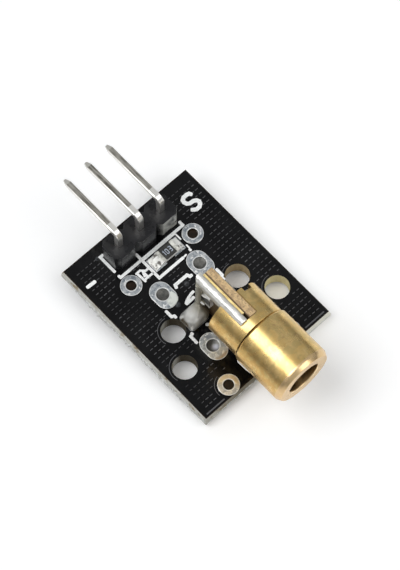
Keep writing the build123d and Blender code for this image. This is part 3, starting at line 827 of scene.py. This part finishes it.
# Painted highlight and shade on the ball: a highlight on its upper left, shade past its shoulder, on its
# inner side and up the neck under the head, and a painted dark groove on its lower left.
along_groove = times(calculate("SUBTRACT", joint.y, GROOVE_Y), GROOVE_STRETCH)
from_groove = distance(joint.x, along_groove, (GROOVE_X, 0.0))
painted_groove = times(falls(from_groove, *GROOVE_EDGE), rises(joint.z, *GROOVE_FOOT),
               falls(joint.z, *GROOVE_HEAD))
from_highlight = distance(joint.x, joint.y, HIGHLIGHT_MIDDLE)
joint.tint(rises(from_highlight, *HIGHLIGHT_EDGE, top=0.8), JOINT_SHADE)
joint.tint(rises(joint.x, *SHOULDER_X), JOINT_HALF_SHADE)
joint.tint(rises(joint.x, *INNER_SIDE_X, top=0.95), JOINT_SHADE_OLIVE)
joint.tint(painted_groove, GROOVE_SHADE_BROWN)
joint.tint(rises(joint.z, *NECK_Z, top=0.6), JOINT_SHADE_OLIVE)
softened("left_solder_joint", joint, grain=0.045, rounds=14)

BEAD_PALE = (0.96, 0.95, 0.9)
BEAD_GREY = (0.74, 0.73, 0.69)
BEAD_SHADE_OLIVE = (0.62, 0.58, 0.46)
BEAD_FLANK_Z = (9.0, 9.9)
bead = solder_metal("bead solder", BEAD_PALE, BEAD_GREY, roughness=0.46, stains=0.75,
                    ripples=0.035, shine=1.0)
# Painted shade: the bead darkens to olive down its lower flank.
bead.tint(falls(bead.z, *BEAD_FLANK_Z), BEAD_SHADE_OLIVE)
softened("plate_solder", bead, grain=0.04, rounds=6)

PLUG_GREY = (0.2, 0.195, 0.18)
PLUG_DARK = (0.07, 0.07, 0.065)
PLUG_HIGHLIGHT_PALE = (0.62, 0.62, 0.68)
PLUG_HIGHLIGHT = (-2.24, -3.71)
PLUG_HIGHLIGHT_EDGE = (0.05, 0.5)
plug = solder_metal("plug solder", PLUG_GREY, PLUG_DARK, roughness=0.5, stains=0.9,
                    ripples=0.02, shine=0.9, drifts=0.7)
# A painted highlight on the front left plug.
plug.tint(falls(distance(plug.x, plug.y, PLUG_HIGHLIGHT), *PLUG_HIGHLIGHT_EDGE), PLUG_HIGHLIGHT_PALE)
dressed("pad_solder", plug)


# Solder threads
# Two bright threads of solder left on the driver board's plate and on its chip resistor's lower cap.
# They were drawn out by the iron and froze there.

THREADS = (
    ((-0.97, -0.15, 6.64), (-0.97, -0.38, 6.42), (-0.95, -0.72, 6.38), (-0.85, -1.02, 6.36),
     (-0.76, -1.35, 6.64), (-0.74, -1.45, 7.1)),
    ((-1.08, -0.08, 4.88), (-1.08, -0.3, 4.88), (-1.08, -0.64, 4.87), (-1.06, -0.98, 4.87)),
)
THREAD_RADIUS = 0.11
THREAD_SIDES = 10
THREAD_STEPS = 5
THREAD_END = 0.06
THINNEST = 0.15


def smooth_path(corners):
    """Points of a smooth curve through corners, THREAD_STEPS to each span."""
    ends = [2 * corners[0] - corners[1]] + corners + [2 * corners[-1] - corners[-2]]
    path = []
    for before, start, end, after in zip(ends, ends[1:], ends[2:], ends[3:]):
        way_in = (end - before) / 2
        way_out = (after - start) / 2
        for step in range(THREAD_STEPS):
            share = step / THREAD_STEPS
            to_end = 3 * share ** 2 - 2 * share ** 3
            leaving = share ** 3 - 2 * share ** 2 + share
            arriving = share ** 3 - share ** 2
            path.append(start * (1 - to_end) + way_in * leaving + end * to_end + way_out * arriving)
    return path + [corners[-1]]


threads = []
for corners in THREADS:
    path = smooth_path([Vector(corner) for corner in corners])
    rings = []
    for number, spot in enumerate(path):
        way = (path[min(number + 1, len(path) - 1)] - path[max(number - 1, 0)]).normalized()
        out = way.cross(Vector((1, 0, 0))).normalized()
        up = out.cross(way)
        share = THREAD_END + (1 - 2 * THREAD_END) * number / (len(path) - 1)
        radius = THREAD_RADIUS * max(THINNEST, math.sin(math.pi * share) ** 0.5)
        turns = [2 * math.pi * side / THREAD_SIDES for side in range(THREAD_SIDES)]
        rings.append([spot + (out * math.cos(turn) + up * math.sin(turn)) * radius for turn in turns])
    threads.append(rings)
bright_solder = solder_metal("bright solder", JOINT_PALE, JOINT_GREY, roughness=0.35, stains=0.9,
                             ripples=0.01, shine=0.4)
closed_piece("solder_threads", threads, bright_solder, smooth=True)


# Solder splash
# A thin puddle of solder under white flux, on the front half of the rear left oval pad.
# It froze there with a low crown and a soft edge.

SPLASH_OUTLINE = ((-2.56, 2.52), (-2.2, 2.62), (-1.9, 2.68), (-1.66, 3.02), (-1.46, 2.96), (-1.36, 2.55),
                  (-1.42, 2.12), (-1.62, 1.9), (-1.98, 1.76), (-2.42, 1.74), (-2.6, 1.84), (-2.54, 2.15))
SPLASH_FOOT = BOARD_TOP + 0.045
SPLASH_CROWN = 0.05
SPLASH_PROFILE = ((1.0, 0.0), (0.94, 0.55), (0.8, 0.85), (0.5, 1.0))
FLUX_CRUST = (0.74, 0.77, 0.72)
FLUX_CRUST_GREY = (0.5, 0.53, 0.51)
flux_crust = Surface("white flux crust", FLUX_CRUST, roughness=0.4)
crust_drift = flux_crust.patches(size=0.5, level=0.58, soft=0.2)
flux_crust.tint(crust_drift, FLUX_CRUST_GREY)
flux_crust.relief(crust_drift, depth=0.02)
splash_corners = [Vector(corner) for corner in SPLASH_OUTLINE]
splash_middle = sum(splash_corners, Vector((0, 0))) / len(splash_corners)
splash_rings = []
for share, height in SPLASH_PROFILE:
    spots = [splash_middle.lerp(corner, share) for corner in splash_corners]
    splash_rings.append([(spot.x, spot.y, SPLASH_FOOT + SPLASH_CROWN * height) for spot in spots])
closed_piece("solder_splash", [splash_rings], flux_crust, smooth=True)


# Pin header
# A moulded black block of three octagonal cells with a square pin pushed through each.
# The pins are tin-plated wire, bent level above the block.

HEADER_BLACK = (0.01, 0.01, 0.011)
HEADER_GREY = (0.016, 0.016, 0.018)
HEADER_REFLECTION = (0.42, 0.42, 0.39)
UPRIGHT_TILT = 0.5
RIGHT_CELL_X = (1.3, 2.0)
CELL_MIDDLE_Y = 8.6
plastic = Surface("header plastic", HEADER_BLACK, roughness=0.3, Specular_IOR_Level=0.27)
flow = plastic.patches(size=1.6, level=0.5, soft=0.5)
plastic.tint(flow, HEADER_GREY)
# A painted reflection in patches on the right cell's front faces.
reflection_patches = plastic.patches(size=1.1, level=0.47, soft=0.25)
painted_reflection = times(under(plastic.tilt()[2], UPRIGHT_TILT), rises(plastic.x, *RIGHT_CELL_X),
                under(plastic.y, CELL_MIDDLE_Y), reflection_patches)
plastic.tint(painted_reflection, HEADER_REFLECTION)
put(spread(flow, 0.24, 0.32), plastic.inputs["Roughness"])
plastic.relief(flow, depth=0.001)
dressed("header_block", plastic, bevel=0.08, segments=3)

PIN_METAL = (0.62, 0.59, 0.53)
PIN_DARK = (0.17, 0.16, 0.135)
PIN_HIGHLIGHT = (0.95, 0.93, 0.88)
PIN_CUT = (0.78, 0.76, 0.7)
FLANK_TILT = 0.3
BEND_Y = 10.1
CUT_Y = (15.5, 15.56)
pins = Surface("pin metal", PIN_METAL, roughness=0.28, metallic=1.0)
draw_marks = pins.lines(0.16, 2.4, 0.6)
pin_spots = pins.patches(size=0.9, level=0.52, soft=0.3)
pins.tint(draw_marks, PIN_METAL, base=PIN_DARK)
pins.tint(spread(pin_spots, 0.0, 0.4), PIN_METAL)
# Painted highlights on the pins' flanks and on their bends and uprights.
flank = over(pins.tilt()[0], FLANK_TILT)
pins.tint(calculate("MAXIMUM", flank, under(pins.y, BEND_Y)), PIN_HIGHLIGHT)
pins.tint(rises(pins.y, *CUT_Y, top=0.8), PIN_CUT)
pins.relief(draw_marks, depth=0.0004)
for node in ("pin_ground", "pin_supply", "pin_signal"):
    dressed(node, pins, bevel=0.05, segments=3)


# Chip resistors
# A white ceramic slab with a dark glassy coat and wrapped tinned ends.
# One lies beside the header and one stands on the driver board. The first has its value printed on it.

CERAMIC = (0.95, 0.94, 0.92)
CERAMIC_GREY = (0.8, 0.79, 0.76)
COAT_BLACK = (0.022, 0.022, 0.021)
COAT_GREY = (0.04, 0.04, 0.037)
CAP_PALE = (0.93, 0.93, 0.87)
CAP_GREY = (0.34, 0.34, 0.3)
ceramic = Surface("white ceramic", CERAMIC, roughness=0.45)
ceramic.tint(ceramic.patches(size=0.15, level=0.55, soft=0.3), CERAMIC_GREY)
coat = Surface("resistor coat", COAT_BLACK, roughness=0.35)
coat_drift = coat.patches(size=0.4, level=0.5, soft=0.3)
coat.tint(coat_drift, COAT_GREY)
coat.relief(coat_drift, depth=0.006)
cap_metal = solder_metal("cap metal", CAP_PALE, CAP_GREY, roughness=0.42, stains=0.68,
                         ripples=0.012, shine=0.5, drifts=0.45)
for node in ("resistor_body", "driver_resistor_body"):
    dressed(node, ceramic, bevel=0.01)
for node in ("resistor_coat", "driver_resistor_coat"):
    dressed(node, coat, bevel=0.01)
for node in ("resistor_caps", "driver_resistor_caps"):
    dressed(node, cap_metal, bevel=0.02)

DIGIT_INK = (0.5, 0.55, 0.63)
DIGIT_WORN = (0.36, 0.42, 0.5)
DIGIT_LINE = 0.07
DIGIT_THICKNESS = 0.008
ONE = ((-0.43, 0.15), (-0.36, 0.25), (-0.36, -0.25))
NOUGHT = ((-0.17, -0.05), (-0.17, 0.19), (-0.11, 0.25), (-0.02, 0.25), (0.04, 0.19),
          (0.04, -0.19), (-0.02, -0.25), (-0.11, -0.25), (-0.17, -0.19), (-0.17, 0.05))
THREE = ((0.22, 0.25), (0.4, 0.25), (0.43, 0.19), (0.43, 0.06), (0.27, 0.0),
         (0.43, -0.06), (0.43, -0.19), (0.4, -0.25), (0.22, -0.25))
digit_ink = Surface("pale digit ink", DIGIT_INK, roughness=0.5)
digit_ink.tint(digit_ink.patches(size=0.08, level=0.55, soft=0.3), DIGIT_WORN)
coat_low, coat_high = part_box("resistor_coat")
coat_middle = (coat_low + coat_high) / (2 * MM)
digits = [(DIGIT_LINE, [(coat_middle.x + x, coat_middle.y + y) for x, y in digit])
          for digit in (ONE, NOUGHT, THREE)]
flat_strokes("resistor_value", digits, coat_high.z / MM, DIGIT_THICKNESS, digit_ink)


# Laser head
# Two turned and polished brass pieces: the lens barrel in front and the slotted housing behind.
# Stains mottle them. Their left flanks carry a painted reflection in tan patches, and a thin brown line runs
# along the slot's right edge.

AXIS_HEIGHT = 7.25
NOSE_Y = -12.6
NOSE_FACE_DEPTH = 0.6
PINK_SHARE = 0.7
LIP_RADIUS = 1.7
LIP_DEPTH = 0.05
BORE_RADIUS = LIP_RADIUS + 0.04
BORE_SHADE = (0.12, 0.6)
JOINT_Y = -6.97
JOINT_HALF = 0.035
JOINT_FADE_X = (-1.5, 1.0)
LEFT_FLANK_X = (-2.9, -1.5)
SLOT_EDGE_X = 0.47
SLOT_EDGE_WIDTH = (0.02, 0.07)
SLOT_EDGE_END = (-6.05, -5.9)
SLOT_RIM_Z = AXIS_HEIGHT + 2.6
BRASS = (0.86, 0.62, 0.27)
BRASS_DEEP = (0.74, 0.5, 0.18)
BRASS_OLIVE = (0.62, 0.46, 0.19)
BRASS_PINK = (0.84, 0.6, 0.34)
BRASS_BROWN = (0.46, 0.29, 0.13)
BRASS_REFLECTED_TAN = (0.62, 0.36, 0.11)
BORE_BROWN = (0.24, 0.155, 0.065)
LIP_HIGHLIGHT_PALE = (0.98, 0.86, 0.62)
SLOT_BROWN = (0.34, 0.19, 0.07)
BARREL_JOINT_SHADE = (0.05, 0.035, 0.015)
brass = Surface("brass", BRASS, roughness=0.26, metallic=1.0)
clouds = brass.patches(size=1.6, level=0.5, soft=0.25)
turning = brass.lines(5.0, 0.14, 5.0)
mottle = brass.patches(size=0.7, level=0.5, soft=0.25)
specks = brass.patches(size=0.55, level=0.64, soft=0.2)
flank_reflection_patches = brass.patches(size=0.45, level=0.48, soft=0.15)
brass.tint(clouds, BRASS, base=BRASS_DEEP)
brass.tint(spread(turning, 0.0, 0.15), BRASS_DEEP)
brass.tint(spread(mottle, 0.0, 0.75), BRASS_OLIVE)
brass.tint(spread(specks, 0.0, 0.4), BRASS_BROWN)
# A painted reflection in tan patches on the head's left flank.
brass.tint(times(flank_reflection_patches, falls(brass.x, *LEFT_FLANK_X, top=0.65)), BRASS_REFLECTED_TAN)
brass.tint(times(under(brass.y, NOSE_Y + NOSE_FACE_DEPTH), PINK_SHARE), BRASS_PINK)
from_axis = distance(brass.x, brass.z, (0.0, AXIS_HEIGHT))
# A painted highlight on the lip of the nose's opening.
lip_highlight = times(under(brass.y, NOSE_Y + LIP_DEPTH), under(from_axis, LIP_RADIUS + LIP_DEPTH))
brass.tint(lip_highlight, LIP_HIGHLIGHT_PALE)
bore_depth = calculate("SUBTRACT", brass.y, NOSE_Y)
brass.tint(times(under(from_axis, BORE_RADIUS), rises(bore_depth, *BORE_SHADE)), BORE_BROWN)
# Painted shade in the groove between barrel and housing, fading towards the right.
toward_right = spread(brass.x, 1.0, 0.3, *JOINT_FADE_X)
brass.tint(times(toward_right, under(apart(brass.y, JOINT_Y), JOINT_HALF)), BARREL_JOINT_SHADE)
# A thin brown line along the slot's right edge.
slot_edge = times(falls(apart(brass.x, SLOT_EDGE_X), *SLOT_EDGE_WIDTH, top=0.85),
                  over(brass.z, SLOT_RIM_Z), rises(brass.y, *SLOT_EDGE_END))
brass.tint(slot_edge, SLOT_BROWN)
dents = brass.lines(1.3, 1.3, 1.3)
put(spread(dents, 0.27, 0.32), brass.inputs["Roughness"])
brass.relief(dents, depth=0.004)
for node in ("lens_barrel", "laser_housing"):
    dressed(node, brass, bevel=0.03)


# Lens, spring, driver board, plate and diode
# What the head holds: a clear moulded lens pressed forward by a spring, and the driver board
# with its gold-plated plate that carries the diode.

LENS_CLEAR = (0.9, 0.9, 0.9)
lens_plastic = Surface("lens plastic", LENS_CLEAR, roughness=0.05, Transmission_Weight=1.0, IOR=1.49)
dressed("lens", lens_plastic)

STEEL = (0.55, 0.55, 0.56)
STEEL_WORN = (0.35, 0.34, 0.33)
spring_steel = Surface("spring steel", STEEL, roughness=0.3, metallic=1.0)
spring_steel.tint(spring_steel.patches(size=0.4, level=0.5, soft=0.3), STEEL_WORN)
dressed("lens_spring", spring_steel)

FIBRE_TAN = (0.66, 0.47, 0.24)
FIBRE_PINK = (0.42, 0.28, 0.15)
FIBRE_DARK = (0.2, 0.12, 0.07)
DRIVER_FACE = (0.09, 0.055, 0.03)
DRIVER_TRACK = (0.15, 0.1, 0.05)
BOARD_DARK_LINE_X = -0.31
FACE_TILT = 0.7
fibre = Surface("bare driver laminate", FIBRE_TAN, roughness=0.55)
fibre_lines = fibre.lines(0.07, 0.5, 0.5)
dark_spots = fibre.patches(size=0.18, level=0.6, soft=0.15)
fibre.tint(fibre.patches(size=0.4, level=0.5, soft=0.12), FIBRE_PINK)
fibre.tint(spread(fibre_lines, 0.0, 0.4), FIBRE_TAN)
fibre.tint(spread(dark_spots, 0.0, 0.7), FIBRE_DARK)
# A dark brown strip along the board next to the plate.
fibre.tint(under(fibre.x, BOARD_DARK_LINE_X), FIBRE_DARK)
track_colour = blend(fibre.lines(3.0, 0.9, 2.6), DRIVER_FACE, DRIVER_TRACK)
masked_face = over(fibre.tilt()[0], FACE_TILT)
fibre.tint(masked_face, track_colour)
put(spread(masked_face, 0.6, 0.3), fibre.inputs["Roughness"])
fibre.relief(fibre_lines, depth=0.02)
dressed("driver_board", fibre, bevel=0.02)

GOLD = (1.0, 0.8, 0.38)
GOLD_WORN = (0.8, 0.6, 0.26)
PLATE_DARK_LINE_X = -0.455
gold = Surface("gold plating", GOLD, roughness=0.45, metallic=1.0)
gold.tint(gold.patches(size=0.5, level=0.56, soft=0.3), GOLD_WORN)
# A dark brown strip along the plate's side next to the board.
gold.tint(over(gold.x, PLATE_DARK_LINE_X), FIBRE_DARK)
gold.relief(gold.lines(0.05, 0.6, 0.6), depth=0.006)
dressed("driver_plate", gold, bevel=0.05)

DIODE = (0.35, 0.36, 0.42)
DIODE_LINES = (0.5, 0.45, 0.3)
diode = Surface("bare diode", DIODE, roughness=0.2, metallic=1.0)
diode.tint(diode.lines(0.3, 0.04, 0.3), DIODE_LINES)
dressed("diode_submount", ceramic)
dressed("laser_diode", diode)


# Table and room
# The part lies on a white table, on its pins' tails and its front lower edge.
# A white room and two soft lamps light it.

TABLE_HALF = 600
REST_FROM_EDGE = 0.14
TABLE_SEEN = (1.0, 1.0, 1.0)
TABLE_WHITE = (0.8, 0.8, 0.81)
TABLE_FAR_SHADE = (0.45, 0.45, 0.45)
FAR_REACH = (8.0, 75.0)
TABLE_LIFT = 0.06
front_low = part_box("circuit_board")[0]
tails_low, tails_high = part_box("header_solder")
rest_y = front_low.y + REST_FROM_EDGE * MM
slope = math.atan2(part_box("pin_supply")[0].z, (tails_low.y + tails_high.y) / 2 - rest_y)
table_corners = [(x * TABLE_HALF, y * TABLE_HALF, 0) for x, y in ((-1, -1), (1, -1), (1, 1), (-1, 1))]
table = new_piece("table", table_corners, [(0, 1, 2, 3)])
table.data.transform(Matrix.Translation((0, rest_y, 0)) @ Matrix.Rotation(slope, 4, "X"))
table_white = Surface("table white", TABLE_WHITE, roughness=0.7, Specular_IOR_Level=0.2)
rays = add(table_white.tree, "ShaderNodeLightPath").outputs
seen = calculate("MAXIMUM", rays["Is Camera Ray"], rays["Is Transmission Ray"])
# Painted shade in reflections: as glossy rays see it, the table darkens far to the left.
from_part = rises(times(table_white.x, -1.0), *FAR_REACH)
table_white.tint(rays["Is Glossy Ray"], blend(from_part, TABLE_SEEN, TABLE_FAR_SHADE))
table_white.tint(seen, TABLE_SEEN)
put(TABLE_SEEN, table_white.inputs["Emission Color"])
put(times(seen, TABLE_LIFT), table_white.inputs["Emission Strength"])
table.data.materials.append(table_white.material)

ROOM_WALL = 0.22
ROOM_CEILING = 0.5
ROOM_TINT = (0.97, 0.985, 1.0)
CEILING_START = (0.1, 0.45)
world = bpy.data.worlds.new("white room")
bpy.context.scene.world = world
world.use_nodes = True
sky = world.node_tree
upward = split(add(sky, "ShaderNodeTexCoord").outputs["Generated"])[2]
room_light = spread(upward, ROOM_WALL, ROOM_CEILING, *CEILING_START)
camera_ray = add(sky, "ShaderNodeLightPath").outputs["Is Camera Ray"]
level = add(sky, "ShaderNodeMix", {0: camera_ray, 2: room_light, 3: 1.0}, data_type="FLOAT")
background = sky.nodes["Background"].inputs
put(level.outputs[0], background["Strength"])
put(ROOM_TINT, background["Color"])

LAMP_DISTANCE = 0.6


def softbox(name, direction, long_side, width, length, brightness):
    """A rectangular lamp that faces the part's middle, of the given brightness as seen from there."""
    lamp = bpy.data.lights.new(name, "AREA")
    lamp.shape = "RECTANGLE"
    lamp.size = length
    lamp.size_y = width
    lamp.energy = brightness * math.pi * width * length
    holder = new_object(name, lamp)
    away = Vector(direction).normalized()
    sideways = away.cross(Vector(long_side)).normalized()
    lengthways = sideways.cross(away)
    holder.matrix_world = (Matrix.Translation(away * LAMP_DISTANCE)
                           @ Matrix((lengthways, sideways, away)).transposed().to_4x4())


softbox("left softbox", (-0.43, 0.273, 0.86), (0.89, 0, 0.45), width=0.3, length=0.39, brightness=4.0)
softbox("front softbox", (0.3, -0.5, 0.81), (1, 0, 0), width=0.38, length=0.42, brightness=2.0)


# Camera
# The view of the photograph: from above, turned to the part's front left.
# Its place was worked out from the header's pitch, the pins' section and the head's round parts.

AIM = Vector((0.84, 1.65, 1.6)) * MM
DISTANCE = 199.5 * MM
AZIMUTH = math.radians(-43.05)
ELEVATION = math.radians(68.06)
ROLL = math.radians(0.35)
LENS = 138.2
SENSOR_WIDTH = 36
back = Vector((math.sin(AZIMUTH) * math.cos(ELEVATION), -math.cos(AZIMUTH) * math.cos(ELEVATION),
               math.sin(ELEVATION)))
right = Vector((math.cos(AZIMUTH), math.sin(AZIMUTH), 0))
up = back.cross(right)
rolled_right = right * math.cos(ROLL) + up * math.sin(ROLL)
rolled_up = up * math.cos(ROLL) - right * math.sin(ROLL)
camera_data = bpy.data.cameras.new("photo camera")
camera_data.lens = LENS
camera_data.sensor_width = SENSOR_WIDTH
camera_data.clip_start = 0.01
camera_data.clip_end = 10
camera = new_object("photo camera", camera_data)
turn = Matrix((rolled_right, rolled_up, back)).transposed().to_4x4()
camera.matrix_world = Matrix.Translation(AIM + back * DISTANCE) @ turn
bpy.context.scene.camera = camera
bpy.context.scene.view_settings.view_transform = "Standard"
